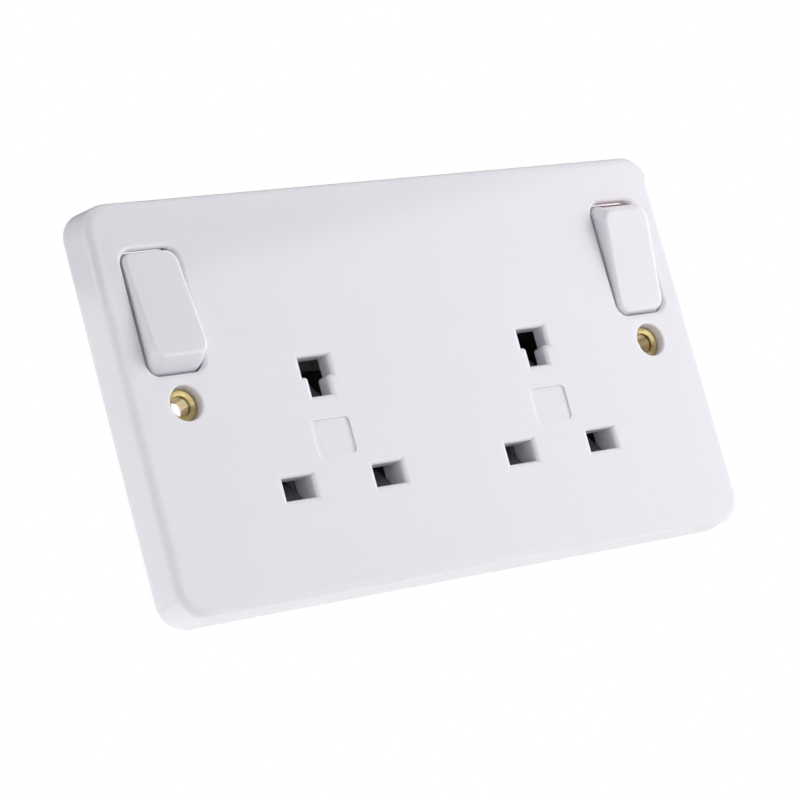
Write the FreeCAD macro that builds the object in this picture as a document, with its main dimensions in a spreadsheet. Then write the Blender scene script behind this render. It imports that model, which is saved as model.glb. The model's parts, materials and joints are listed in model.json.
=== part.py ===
import FreeCAD, Part
import math
import os
import Sketcher

# A switched twin wall socket. X runs to the right, Y into the wall and Z up.
# The origin is the middle of the plate's back rim, in the plane of the wall.

DIMENSIONS = {
    # front plate
    "plate_width": 147.0,
    "plate_height": 86.0,
    "plate_depth": 8.6,
    "plate_inset": 0.7,
    "plate_corner": 6.0,
    "plate_edge": 1.9,
    "front_wall": 2.8,
    "skirt_wall": 2.2,
    "rim_round": 0.4,
    "lip_round": 1.0,
    "mark_width": 9.3,
    "mark_height": 7.6,
    "mark_depth": 0.35,
    "mark_corner": 1.0,
    "mark_z": -11.0,
    # outlets, as the plug standard places them
    "outlet_x": 28.3,
    "pin_pitch": 22.2,
    "line_z": -20.2,
    "slot_width": 7.2,
    "slot_height": 4.6,
    "earth_width": 4.8,
    "earth_height": 8.3,
    "earth_bar_height": 4.1,
    "earth_corner": 0.7,
    "aperture_depth": 4.0,
    "pad_margin": 2.0,
    # shutters and their guides
    "shutter_gap": 0.3,
    "shutter_travel": 5.2,
    "shutter_ramp": 4.6,
    "shutter_toe": 0.5,
    "bridge_thick": 1.6,
    "bridge_height": 3.4,
    "tongue_width": 6.4,
    "rail_thick": 1.5,
    "spring_foot": 4.8,
    "shutter_spring_diameter": 3.4,
    "shutter_spring_length": 10.2,
    "seat_thick": 3.0,
    # fixing holes and eyelets
    "fixing_pitch": 120.6,
    "counterbore": 7.3,
    "seat_depth": 2.7,
    "eyelet_bore": 4.2,
    "eyelet_wall": 0.5,
    "eyelet_flange": 6.9,
    "flange_thick": 0.6,
    "fixing_boss": 10.4,
    "fixing_depth": 5.2,
    "press_clearance": 0.05,
    # rockers
    "rocker_z": 19.1,
    "pivot_depth": 5.0,
    "well_width": 13.2,
    "well_height": 25.2,
    "well_corner": 2.8,
    "rocker_gap": 0.3,
    "rocker_proud": 2.1,
    "rocker_tilt": 8.8,
    "rocker_skin": 2.0,
    "rocker_wall": 1.5,
    "rocker_corner": 2.5,
    "rocker_round": 0.9,
    "trunnion": 2.4,
    "running_clearance": 0.05,
    "lug_thick": 1.8,
    "lug_height": 5.6,
    "lug_rim": 0.75,
    "tower_diameter": 5.2,
    "tower_length": 7.0,
    "tower_inset": 3.6,
    "plunger_diameter": 3.8,
    "plunger_reach": 11.75,
    "plunger_length": 8.5,
    "bore_depth": 9.4,
    # switch contacts
    "contact_y": 9.3,
    "contact_tilt": 7.92,
    "contact_width": 4.6,
    "contact_flange": 1.1,
    "brass_thick": 0.8,
    "knife_gap": 0.15,
    "arm_up": 9.6,
    "arm_down": 7.0,
    "button_arm": 8.0,
    "button_diameter": 3.2,
    "button_height": 0.9,
    "button_round": 0.6,
    "closed_gap": 0.3,
    "live_bar_depth": 3.5,
    # rear moulding
    "tray_width": 124.0,
    "shelf_width": 132.6,
    "shelf_back": 5.0,
    "tray_height": 67.0,
    "tray_waist": 90.0,
    "notch_low": -8.0,
    "notch_high": 6.0,
    "tray_front": 0.6,
    "tray_back": 18.5,
    "tray_wall": 1.8,
    "tray_corner": 3.0,
    "tray_edge": 1.5,
    "cell_rib": 1.2,
    "pillar": 7.0,
    "upper_screw_x": 38.0,
    "upper_screw_z": 27.0,
    "lower_screw_x": 47.5,
    "lower_screw_z": -28.0,
    "screw_shank": 2.9,
    "screw_head": 5.4,
    "screw_head_height": 2.0,
    "screw_engage": 5.0,
    # brass conductors on the tray's floor
    "clip_width": 5.8,
    "clip_gap": 5.2,
    "clip_pinch": 3.5,
    "clip_flare": 5.6,
    "clip_arm": 11.0,
    "clip_lead": 1.6,
    "clip_sheet": 0.7,
    "strap_width": 3.2,
    "live_run_x": 40.5,
    "live_rise_x": 48.0,
    "live_jog_z": 14.0,
    "live_run_z": -13.0,
    "neutral_run_z": -29.2,
    "earth_run_z": 10.2,
    "earth_run_end": 37.0,
    "link_width": 6.0,
    "link_riser_x": 39.0,
    # terminals
    "terminal_width": 10.0,
    "terminal_height": 9.6,
    "terminal_deep": 9.0,
    "terminal_bore": 6.2,
    "cable_hole": 7.0,
    "terminal_screw": 4.0,
    "terminal_head": 6.0,
    "terminal_head_height": 1.6,
    "screw_slot": 0.8,
    "live_terminal_x": 14.0,
    "earth_terminal_x": -14.0,
    "neutral_terminal_x": 0.0,
    "terminal_edge": 3.6,
    "window_depth": 0.6,
    "window_corner": 1.5,
    # springs
    "wire": 0.4,
    "plunger_spring_diameter": 3.3,
}

TOLERANCE = 1e-4
CHORDS_PER_TURN = 12
SPRING_TURNS = 5
# How far the wire's middle stays from a coil's end, in wire thicknesses
COIL_END = 0.75
SIDES = {"left": -1, "right": 1}
# The left switch is off in its rest pose and the right switch is on.
REST_TILT = {"left": -1, "right": 1}

doc = FreeCAD.newDocument("twin_socket")
sheet = doc.addObject("Spreadsheet::Sheet", "dims")
for row, (alias, size) in enumerate(DIMENSIONS.items(), start=1):
    sheet.set(f"A{row}", alias)
    sheet.set(f"B{row}", str(size))
    sheet.setAlias(f"B{row}", alias)
doc.recompute()

# Places that several pieces share, as expressions on the sheet
FACE = "-dims.plate_depth"
WALL_BACK = f"({FACE} + dims.front_wall)"
PAD_BACK = f"({FACE} + dims.aperture_depth)"
SEAT = f"({FACE} + dims.seat_depth)"
PIVOT = f"({FACE} + dims.pivot_depth)"
EARTH_Z = "(dims.line_z + dims.pin_pitch)"
EARTH_LOW = f"({EARTH_Z} - dims.earth_height / 2)"
EARTH_HIGH = f"({EARTH_Z} + dims.earth_height / 2)"
EARTH_STEP = f"({EARTH_HIGH} - dims.earth_bar_height)"
SLOT_LOW = "(dims.line_z - dims.slot_height / 2)"
SLOT_HIGH = "(dims.line_z + dims.slot_height / 2)"
FIXING_X = "(dims.fixing_pitch / 2)"
SWITCH_X = f"({FIXING_X} - dims.tower_inset)"
WELL_RADIUS = "sqrt((dims.well_height / 2)^2 + dims.pivot_depth^2)"
ROCKER_RADIUS = f"({WELL_RADIUS} - dims.rocker_gap)"
ROCKER_WIDTH = "(dims.well_width - 2 * dims.rocker_gap)"
ROCKER_TOP = "(dims.pivot_depth + dims.rocker_proud)"
LUG_NEAR = "(dims.well_width / 2 + dims.rocker_gap)"
LUG_FAR = f"({LUG_NEAR} + dims.lug_thick)"
SHUTTER_FRONT = f"({PAD_BACK} + dims.shutter_gap)"
SHUTTER_BACK = f"({SHUTTER_FRONT} + dims.shutter_ramp)"
BRIDGE_FRONT = f"({SHUTTER_BACK} - dims.bridge_thick)"
RAIL_BACK = f"({BRIDGE_FRONT} - dims.shutter_gap)"
SLOT_INNER = "(dims.pin_pitch / 2 - dims.slot_width / 2)"
SLOT_OUTER = "(dims.pin_pitch / 2 + dims.slot_width / 2)"
SHUTTER_LOW = f"({SLOT_LOW} - dims.shutter_toe - dims.shutter_gap)"
BRIDGE_LOW = f"({SLOT_HIGH} + dims.shutter_travel + dims.shutter_gap)"
BRIDGE_HIGH = f"({BRIDGE_LOW} + dims.bridge_height)"
SPRING_Y = f"({SHUTTER_FRONT} + dims.spring_foot / 2)"
SPRING_LOW = f"({SHUTTER_LOW} - dims.shutter_spring_length)"
FLOOR = "(dims.tray_back - dims.tray_wall)"
STRAP_FRONT = f"({FLOOR} - dims.brass_thick)"
TAB_REACH = "(dims.clip_width / 2 + dims.clip_sheet / 2)"
LIVE_BAR_FRONT = "dims.contact_y"
LIVE_BAR_BACK = "(dims.contact_y + dims.live_bar_depth)"
TRAY_TOP = "(dims.tray_height / 2)"
TERMINAL_TOP = f"({TRAY_TOP} - dims.terminal_edge)"
LINK_FRONT = f"({FACE} + dims.fixing_depth)"
LINK_BACK = f"({LINK_FRONT} + dims.brass_thick)"
LIVE_SIGN = {"live": 1, "neutral": -1}
ASSEMBLY_SCREWS = [
    (f"{side} * dims.{level}_screw_x", f"dims.{level}_screw_z")
    for level in ("upper", "lower")
    for side in SIDES.values()
]


def value(expression):
    """The number that an expression on the sheet gives."""
    return float(sheet.evalExpression(expression))


def make_body(label):
    """A new body whose label names its file."""
    body = doc.addObject("PartDesign::Body", label)
    body.Label = label
    return body


def place(body, x="0", y="0", z="0"):
    """Move a body to a place given by expressions."""
    for axis, expression in zip("xyz", (x, y, z)):
        body.setExpression(f"Placement.Base.{axis}", expression)


def start_sketch(body, name, plane, offset):
    """A sketch on one of the body's own planes, moved along the plane's normal."""
    sketch = body.newObject("Sketcher::SketchObject", f"{body.Name}_{name}")
    support = next(item for item in body.Origin.OriginFeatures if item.Role == plane)
    sketch.AttachmentSupport = [(support, "")]
    sketch.MapMode = "FlatFace"
    sketch.setExpression("AttachmentOffset.Base.z", offset)
    return sketch


def fix_point(sketch, geometry, point, across, along):
    """Tie a point's two coordinates to the sheet."""
    for kind, expression in (("DistanceX", across), ("DistanceY", along)):
        rule = Sketcher.Constraint(kind, -1, 1, geometry, point, value(expression))
        sketch.setExpression(f"Constraints[{sketch.addConstraint(rule)}]", expression)


def polygon(sketch, corners):
    """A closed outline of straight lines through the given corners."""
    places = [FreeCAD.Vector(value(across), value(along), 0) for across, along in corners]
    first = sketch.GeometryCount
    count = len(corners)
    for index in range(count):
        sketch.addGeometry(Part.LineSegment(places[index], places[(index + 1) % count]))
    for index in range(count):
        following = first + (index + 1) % count
        sketch.addConstraint(Sketcher.Constraint("Coincident", first + index, 2, following, 1))
    for index, (across, along) in enumerate(corners):
        fix_point(sketch, first + index, 1, across, along)


def rectangle(sketch, left, right, low, high):
    """An upright rectangle between two edges each way."""
    polygon(sketch, [(left, low), (right, low), (right, high), (left, high)])


def rounded_rectangle(sketch, middle, half_width, half_height, radius):
    """A rectangle about a middle point with a round at each corner."""
    size = value(radius)
    quarters = []
    for quarter, (right, up) in enumerate(((1, 1), (-1, 1), (-1, -1), (1, -1))):
        place_across = f"{middle[0]} + {right} * ({half_width} - {radius})"
        place_along = f"{middle[1]} + {up} * ({half_height} - {radius})"
        centre = FreeCAD.Vector(value(place_across), value(place_along), 0)
        round_corner = Part.Circle(centre, FreeCAD.Vector(0, 0, 1), size)
        start = quarter * math.pi / 2
        arc = sketch.addGeometry(Part.ArcOfCircle(round_corner, start, start + math.pi / 2))
        fix_point(sketch, arc, 3, place_across, place_along)
        rule = Sketcher.Constraint("Radius", arc, size)
        sketch.setExpression(f"Constraints[{sketch.addConstraint(rule)}]", radius)
        quarters.append(arc)
    for arc, following in zip(quarters, quarters[1:] + quarters[:1]):
        ends = (sketch.getPoint(arc, 2), sketch.getPoint(following, 1))
        line = sketch.addGeometry(Part.LineSegment(*ends))
        sketch.addConstraint(Sketcher.Constraint("Tangent", arc, 2, line, 1))
        sketch.addConstraint(Sketcher.Constraint("Tangent", line, 2, following, 1))


def circle(sketch, across, along, diameter):
    """A circle of a given diameter."""
    centre = FreeCAD.Vector(value(across), value(along), 0)
    normal = FreeCAD.Vector(0, 0, 1)
    index = sketch.addGeometry(Part.Circle(centre, normal, value(diameter) / 2))
    fix_point(sketch, index, 3, across, along)
    rule = Sketcher.Constraint("Diameter", index, value(diameter))
    sketch.setExpression(f"Constraints[{sketch.addConstraint(rule)}]", diameter)


def layer(body, kind, name, front, back):
    """A pad or pocket seen from the front, from one depth to a greater one."""
    sketch = start_sketch(body, f"{name}_sketch", "XZ_Plane", f"-({front})")
    feature = body.newObject(f"PartDesign::{kind}", f"{body.Name}_{name}")
    feature.Profile = sketch
    feature.Reversed = kind == "Pad"
    feature.setExpression("Length", f"({back}) - ({front})")
    return sketch, feature


def side_layer(body, kind, name, middle, width):
    """A pad or pocket seen from the side, as wide on either side of its middle."""
    sketch = start_sketch(body, f"{name}_sketch", "YZ_Plane", middle)
    feature = body.newObject(f"PartDesign::{kind}", f"{body.Name}_{name}")
    feature.Profile = sketch
    feature.SideType = "Symmetric"
    feature.setExpression("Length", width)
    return sketch, feature


def plan_layer(body, kind, name, low, high):
    """A pad or pocket seen from above, between two heights."""
    level = low if kind == "Pad" else high
    sketch = start_sketch(body, f"{name}_sketch", "XY_Plane", level)
    feature = body.newObject(f"PartDesign::{kind}", f"{body.Name}_{name}")
    feature.Profile = sketch
    feature.setExpression("Length", f"({high}) - ({low})")
    return sketch, feature


def round_edges(body, name, radius, wanted):
    """A fillet on the edges of the body's tip that a test picks."""
    doc.recompute()
    base = body.Tip
    names = [f"Edge{index}" for index, edge in enumerate(base.Shape.Edges, start=1) if wanted(edge)]
    fillet = body.newObject("PartDesign::Fillet", f"{body.Name}_{name}")
    fillet.Base = (base, names)
    fillet.setExpression("Radius", radius)
    doc.recompute()
    return fillet


def centred_at(edge, across, along):
    """Whether the middle of an edge, or of its mirror image, is at a point of the front view."""
    middle = edge.CenterOfMass
    return abs(abs(middle.x) - across) < TOLERANCE and abs(middle.z - along) < TOLERANCE


def lies_at(edge, axis, level):
    """Whether an edge lies in the plane across an axis at a level."""
    box = edge.BoundBox
    low = getattr(box, f"{axis}Min")
    high = getattr(box, f"{axis}Max")
    return abs(low - level) < TOLERANCE and abs(high - level) < TOLERANCE


def runs_along(edge, axis):
    """Whether an edge is straight and runs mainly along an axis."""
    if len(edge.Vertexes) != 2:
        return False
    chord = edge.Vertexes[1].Point - edge.Vertexes[0].Point
    straight = abs(edge.Length - chord.Length) < TOLERANCE
    return straight and abs(getattr(chord, axis)) > 0.9 * chord.Length


# Front plate

def plate_shell(body):
    """The dished plate: a tapered block with soft edges, hollow behind."""
    half_width = "dims.plate_width / 2"
    half_height = "dims.plate_height / 2"
    sketch, block = layer(body, "Pad", "block", "0", "0")
    rectangle(sketch, f"-{half_width}", half_width, f"-{half_height}", half_height)
    block.Reversed = False
    block.setExpression("Length", "dims.plate_depth")
    block.setExpression("TaperAngle", "-atan(dims.plate_inset / dims.plate_depth)")
    round_edges(body, "corners", "dims.plate_corner", lambda edge: runs_along(edge, "y"))
    round_edges(body, "front_edge", "dims.plate_edge", lambda edge: lies_at(edge, "Y", value(FACE)))
    sketch, _ = layer(body, "Pocket", "hollow", WALL_BACK, "0")
    inner_width = f"({half_width} - dims.skirt_wall)"
    inner_height = f"({half_height} - dims.skirt_wall)"
    inner_corner = "(dims.plate_corner - dims.skirt_wall)"
    rounded_rectangle(sketch, ("0", "0"), inner_width, inner_height, inner_corner)


def outlet_backing(body, side, sign):
    """Pads behind one outlet's apertures, and the shutter's rails and spring seat."""
    middle = f"{sign} * dims.outlet_x"
    pad_low = f"{SLOT_LOW} - dims.pad_margin"
    pad_high = f"{SLOT_HIGH} + dims.pad_margin"
    outer = f"({SLOT_OUTER} + dims.rail_thick)"
    sketch, _ = layer(body, "Pad", f"{side}_pads", WALL_BACK, PAD_BACK)
    rectangle(sketch, f"{middle} - {outer}", f"{middle} + {outer}", pad_low, pad_high)
    reach = "(dims.slot_width / 2 + dims.pad_margin)"
    rectangle(
        sketch,
        f"{middle} - {reach}",
        f"{middle} + {reach}",
        f"{EARTH_LOW} - dims.pad_margin",
        f"{EARTH_HIGH} + dims.pad_margin",
    )
    sketch, _ = layer(body, "Pad", f"{side}_rails", PAD_BACK, RAIL_BACK)
    for near in (f"-{outer}", f"-{SLOT_INNER}", f"{SLOT_INNER} - dims.rail_thick", SLOT_OUTER):
        left = f"{middle} + {near}"
        rectangle(sketch, left, f"{left} + dims.rail_thick", pad_low, pad_high)
    sketch, _ = layer(body, "Pad", f"{side}_spring_seat", WALL_BACK, f"{SPRING_Y} + dims.spring_foot / 2")
    half = "dims.spring_foot / 2"
    seat_low = f"{SPRING_LOW} - dims.seat_thick"
    rectangle(sketch, f"{middle} - {half}", f"{middle} + {half}", seat_low, SPRING_LOW)


def rocker_bearings(body, side, sign):
    """Two lugs beside one rocker, bored for its trunnions."""
    middle = f"{sign} * {FIXING_X}"
    lug_back = f"{PIVOT} + dims.trunnion / 2 + dims.lug_rim"
    sketch, _ = layer(body, "Pad", f"{side}_lugs", WALL_BACK, lug_back)
    half = "dims.lug_height / 2"
    for hand in SIDES.values():
        edges = [f"{middle} + {hand} * {LUG_NEAR}", f"{middle} + {hand} * {LUG_FAR}"]
        rectangle(sketch, *edges[::hand], f"dims.rocker_z - {half}", f"dims.rocker_z + {half}")
    sketch, _ = side_layer(body, "Pocket", f"{side}_bearing", middle, f"2 * {LUG_FAR}")
    circle(sketch, PIVOT, "dims.rocker_z", "dims.trunnion + 2 * dims.running_clearance")


def plate_openings(body, side, sign):
    """One outlet's apertures, its rocker well and its fixing hole."""
    middle = f"{sign} * dims.outlet_x"
    sketch, _ = layer(body, "Pocket", f"{side}_slots", FACE, PAD_BACK)
    half_slot = "dims.slot_width / 2"
    for hand in SIDES.values():
        slot = f"{middle} + {hand} * dims.pin_pitch / 2"
        rectangle(sketch, f"{slot} - {half_slot}", f"{slot} + {half_slot}", SLOT_LOW, SLOT_HIGH)
    half_stem = "dims.earth_width / 2"
    outline = [
        (f"{middle} - {half_stem}", EARTH_LOW),
        (f"{middle} + {half_stem}", EARTH_LOW),
        (f"{middle} + {half_stem}", EARTH_STEP),
        (f"{middle} + {half_slot}", EARTH_STEP),
        (f"{middle} + {half_slot}", EARTH_HIGH),
        (f"{middle} - {half_slot}", EARTH_HIGH),
        (f"{middle} - {half_slot}", EARTH_STEP),
        (f"{middle} - {half_stem}", EARTH_STEP),
    ]
    polygon(sketch, outline)
    sketch, _ = side_layer(body, "Pocket", f"{side}_well", f"{sign} * {FIXING_X}", "dims.well_width")
    circle(sketch, PIVOT, "dims.rocker_z", f"2 * {WELL_RADIUS}")
    sketch, _ = layer(body, "Pocket", f"{side}_counterbore", FACE, SEAT)
    circle(sketch, f"{sign} * {FIXING_X}", "0", "dims.counterbore")
    sketch, _ = layer(body, "Pocket", f"{side}_eyelet_hole", FACE, LINK_FRONT)
    barrel = "dims.eyelet_bore + 2 * (dims.eyelet_wall + dims.press_clearance)"
    circle(sketch, f"{sign} * {FIXING_X}", "0", barrel)


def front_plate():
    """The white plate with its apertures, bearings and screw bosses."""
    body = make_body("front_plate")
    plate_shell(body)
    sketch, _ = layer(body, "Pad", "fixing_bosses", WALL_BACK, LINK_FRONT)
    for sign in SIDES.values():
        circle(sketch, f"{sign} * {FIXING_X}", "0", "dims.fixing_boss")
    sketch, _ = layer(body, "Pad", "screw_bosses", WALL_BACK, "dims.tray_front")
    for across, along in ASSEMBLY_SCREWS:
        circle(sketch, across, along, "dims.pillar")
    for side, sign in SIDES.items():
        outlet_backing(body, side, sign)
        rocker_bearings(body, side, sign)
        plate_openings(body, side, sign)
    pilot_end = "dims.tray_front - dims.screw_engage"
    sketch, _ = layer(body, "Pocket", "screw_pilots", pilot_end, "dims.tray_front")
    for across, along in ASSEMBLY_SCREWS:
        circle(sketch, across, along, "dims.screw_shank + 2 * dims.press_clearance")
    radius = value(WELL_RADIUS)
    round_edges(
        body,
        "well_corners",
        "dims.well_corner",
        lambda edge: isinstance(edge.Curve, Part.Circle)
        and abs(edge.Curve.Radius - radius) < TOLERANCE
        and abs(edge.Curve.Axis.x) > 0.99
        and edge.CenterOfMass.y < value(WALL_BACK),
    )
    step = value(EARTH_STEP)
    stem_sides = [value(f"dims.outlet_x + {hand} * dims.earth_width / 2") for hand in SIDES.values()]
    round_edges(
        body,
        "earth_corners",
        "dims.earth_corner",
        lambda edge: any(centred_at(edge, across, step) for across in stem_sides)
        and edge.BoundBox.YLength > TOLERANCE,
    )
    fixing = value(FIXING_X)
    border = value("dims.plate_inset + dims.plate_edge + dims.lip_round")
    reach_x = value("dims.plate_width / 2") - border
    reach_z = value("dims.plate_height / 2") - border
    round_edges(
        body,
        "lips",
        "dims.lip_round",
        lambda edge: lies_at(edge, "Y", value(FACE))
        and abs(edge.CenterOfMass.x) < reach_x
        and abs(edge.CenterOfMass.z) < reach_z
        and not centred_at(edge, fixing, 0),
    )
    round_edges(
        body,
        "rims",
        "dims.rim_round",
        lambda edge: lies_at(edge, "Y", value(FACE)) and centred_at(edge, fixing, 0),
    )
    sketch, _ = layer(body, "Pocket", "mark_recesses", FACE, f"{FACE} + dims.mark_depth")
    for sign in SIDES.values():
        middle = (f"{sign} * dims.outlet_x", "dims.mark_z")
        rounded_rectangle(sketch, middle, "dims.mark_width / 2", "dims.mark_height / 2", "dims.mark_corner")
    return body


# Rear moulding

def lobed_outline(width, margin):
    """An outline of the tray, waisted where a wall box has its fixing lugs."""
    wide = f"({width} / 2 - {margin})"
    tall = f"(dims.tray_height / 2 - {margin})"
    waist = f"(dims.tray_waist / 2 - {margin})"
    low = f"(dims.notch_low - {margin})"
    high = f"(dims.notch_high + {margin})"
    right = [(wide, f"-{tall}"), (wide, low), (waist, low), (waist, high), (wide, high), (wide, tall)]
    left = [(f"-{across}", along) for across, along in reversed(right)]
    return right + left


def rear_moulding():
    """The tray that holds the contacts, with a shallow shelf behind each rocker."""
    body = make_body("rear_moulding")
    sketch, _ = layer(body, "Pad", "block", "dims.tray_front", "dims.tray_back")
    polygon(sketch, lobed_outline("dims.tray_width", "0"))
    round_edges(body, "corners", "dims.tray_corner", lambda edge: runs_along(edge, "y"))
    back = value("dims.tray_back")
    round_edges(body, "back_edge", "dims.tray_edge", lambda edge: lies_at(edge, "Y", back))
    sketch, _ = layer(body, "Pad", "shelf", "dims.tray_front", "dims.shelf_back")
    polygon(sketch, lobed_outline("dims.shelf_width", "0"))
    shelf_end = value("dims.shelf_width / 2")
    round_edges(
        body,
        "shelf_corners",
        "dims.tray_corner",
        lambda edge: runs_along(edge, "y") and abs(abs(edge.CenterOfMass.x) - shelf_end) < TOLERANCE,
    )
    sketch, _ = layer(body, "Pocket", "hollow", "dims.tray_front", FLOOR)
    polygon(sketch, lobed_outline("dims.tray_width", "dims.tray_wall"))
    shelf_floor = "dims.shelf_back - dims.tray_wall"
    sketch, _ = layer(body, "Pocket", "shelf_hollow", "dims.tray_front", shelf_floor)
    polygon(sketch, lobed_outline("dims.shelf_width", "dims.tray_wall"))
    sketch, _ = layer(body, "Pad", "pillars", "dims.tray_front", "dims.tray_back")
    for across, along in ASSEMBLY_SCREWS:
        circle(sketch, across, along, "dims.pillar")
    sketch, _ = layer(body, "Pad", "cell_ribs", "dims.tray_front", FLOOR)
    rib_low = f"{SLOT_LOW} - dims.pad_margin"
    rib_high = "dims.live_run_z - dims.strap_width / 2 - dims.rail_thick"
    for sign in SIDES.values():
        for hand in SIDES.values():
            rib = f"{sign} * dims.outlet_x + {hand} * ({SLOT_INNER} - dims.rail_thick / 2)"
            half = "dims.cell_rib / 2"
            rectangle(sketch, f"{rib} - {half}", f"{rib} + {half}", rib_low, rib_high)
    sketch, _ = layer(body, "Pad", "bar_posts", LIVE_BAR_BACK, FLOOR)
    for sign in SIDES.values():
        post = f"{sign} * dims.upper_screw_x"
        half = "dims.strap_width / 2"
        low = f"dims.rocker_z - {half}"
        rectangle(sketch, f"{post} - {half}", f"{post} + {half}", low, f"dims.rocker_z + {half}")
    sketch, _ = layer(body, "Pocket", "screw_bores", "dims.tray_front", "dims.tray_back")
    for across, along in ASSEMBLY_SCREWS:
        circle(sketch, across, along, "dims.screw_shank + 2 * dims.press_clearance")
    head_seat = "dims.tray_back - dims.screw_head_height"
    sketch, _ = layer(body, "Pocket", "head_seats", head_seat, "dims.tray_back")
    for across, along in ASSEMBLY_SCREWS:
        circle(sketch, across, along, "dims.screw_head + 2 * dims.press_clearance")
    window_floor = "dims.tray_back - dims.window_depth"
    for name, across, along, _ in TERMINALS:
        sketch, _ = layer(body, "Pocket", f"{name}_window", window_floor, "dims.tray_back")
        half_width = "dims.terminal_width / 2"
        half_height = "dims.terminal_height / 2"
        rounded_rectangle(sketch, (across, along), half_width, half_height, "dims.window_corner")
    sketch, _ = layer(body, "Pocket", "screw_access", FLOOR, "dims.tray_back")
    for _, across, along, _ in TERMINALS:
        circle(sketch, across, along, "dims.cable_hole")
    half_hole = "dims.cable_hole / 2"
    for name, across, along, front in TERMINALS:
        edge = 1 if value(along) > 0 else -1
        wall = sorted((f"{edge} * {TRAY_TOP}", f"{edge} * ({TRAY_TOP} - dims.tray_wall)"), key=value)
        sketch, _ = plan_layer(body, "Pocket", f"{name}_cable_hole", *wall)
        circle(sketch, across, f"{front} + dims.terminal_deep / 2", "dims.cable_hole")
    return body


# Switches

def rocker(side, sign):
    """One rocker: a hollow paddle with trunnions and a tower for its plunger."""
    body = make_body(f"{side}_rocker")
    sketch, _ = side_layer(body, "Pad", "paddle", "0", ROCKER_WIDTH)
    top = value(ROCKER_TOP)
    radius = value(ROCKER_RADIUS)
    edge = math.sqrt(radius**2 - top**2)
    upper_angles = (math.pi / 2, math.pi - math.asin(edge / radius))
    whole = Part.Circle(FreeCAD.Vector(), FreeCAD.Vector(0, 0, 1), radius)
    upper = sketch.addGeometry(Part.ArcOfCircle(whole, *upper_angles))
    lower_angles = [2 * math.pi - angle for angle in reversed(upper_angles)]
    lower = sketch.addGeometry(Part.ArcOfCircle(whole, *lower_angles))
    face = sketch.addGeometry(
        Part.LineSegment(FreeCAD.Vector(-top, edge, 0), FreeCAD.Vector(-top, -edge, 0))
    )
    foot = sketch.addGeometry(
        Part.LineSegment(FreeCAD.Vector(0, -radius, 0), FreeCAD.Vector(0, radius, 0))
    )
    for first, second in (((upper, 2), (face, 1)), ((face, 2), (lower, 1)), ((lower, 2), (foot, 1)),
                          ((foot, 2), (upper, 1)), ((upper, 3), (-1, 1)), ((lower, 3), (-1, 1))):
        sketch.addConstraint(Sketcher.Constraint("Coincident", *first, *second))
    sketch.addConstraint(Sketcher.Constraint("Vertical", face))
    sketch.addConstraint(Sketcher.Constraint("Equal", upper, lower))
    sketch.addConstraint(Sketcher.Constraint("PointOnObject", foot, 1, -2))
    sketch.addConstraint(Sketcher.Constraint("PointOnObject", foot, 2, -2))
    sizes = ((Sketcher.Constraint("Radius", upper, radius), ROCKER_RADIUS),
             (Sketcher.Constraint("DistanceX", -1, 1, face, 1, -top), f"-{ROCKER_TOP}"))
    for rule, expression in sizes:
        sketch.setExpression(f"Constraints[{sketch.addConstraint(rule)}]", expression)
    round_edges(
        body,
        "corners",
        "dims.rocker_corner",
        lambda item: isinstance(item.Curve, Part.Circle) and abs(item.Curve.Radius - radius) < TOLERANCE,
    )
    round_edges(body, "face_edge", "dims.rocker_round", lambda item: lies_at(item, "Y", -top))
    ceiling = f"(dims.rocker_skin - {ROCKER_TOP})"
    inner = f"({ROCKER_WIDTH} / 2 - dims.rocker_wall)"
    length = f"({ROCKER_RADIUS} - 2 * dims.rocker_wall)"
    sketch, _ = layer(body, "Pocket", "hollow", ceiling, "0")
    rectangle(sketch, f"-{inner}", inner, f"-{length}", length)
    sketch, _ = side_layer(body, "Pad", "crossbar", "0", ROCKER_WIDTH)
    circle(sketch, "0", "0", "dims.trunnion + dims.rocker_wall")
    sketch, _ = side_layer(body, "Pad", "trunnions", "0", f"2 * ({LUG_FAR} - dims.rocker_gap)")
    circle(sketch, "0", "0", "dims.trunnion")
    inset = f"-{sign} * dims.tower_inset"
    sketch, _ = layer(body, "Pad", "tower", ceiling, "dims.tower_length")
    circle(sketch, inset, "0", "dims.tower_diameter")
    sketch, _ = layer(body, "Pocket", "bore", "dims.tower_length - dims.bore_depth", "dims.tower_length")
    circle(sketch, inset, "0", "dims.plunger_diameter + 2 * dims.running_clearance")
    tilt_with_rocker(body, side, sign)
    return body


def tilt_with_rocker(item, side, sign):
    """Put a piece on a rocker's pivot, turned to the rocker's rest pose."""
    place(item, f"{sign} * {FIXING_X}", PIVOT, "dims.rocker_z")
    item.setExpression("Placement.Rotation.Axis.x", "1")
    item.setExpression("Placement.Rotation.Axis.z", "0")
    item.setExpression("Placement.Rotation.Angle", f"{REST_TILT[side]} * dims.rocker_tilt")


def plunger(side, sign):
    """The round-nosed pin in a rocker's tower that works the switch."""
    body = make_body(f"{side}_plunger")
    back = "dims.plunger_reach"
    sketch, _ = layer(body, "Pad", "pin", f"{back} - dims.plunger_length", back)
    circle(sketch, f"-{sign} * dims.tower_inset", "0", "dims.plunger_diameter")
    nose = value(back)
    round_edges(
        body,
        "nose",
        "dims.plunger_diameter / 2 - dims.running_clearance",
        lambda edge: lies_at(edge, "Y", nose),
    )
    tilt_with_rocker(body, side, sign)
    return body


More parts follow.
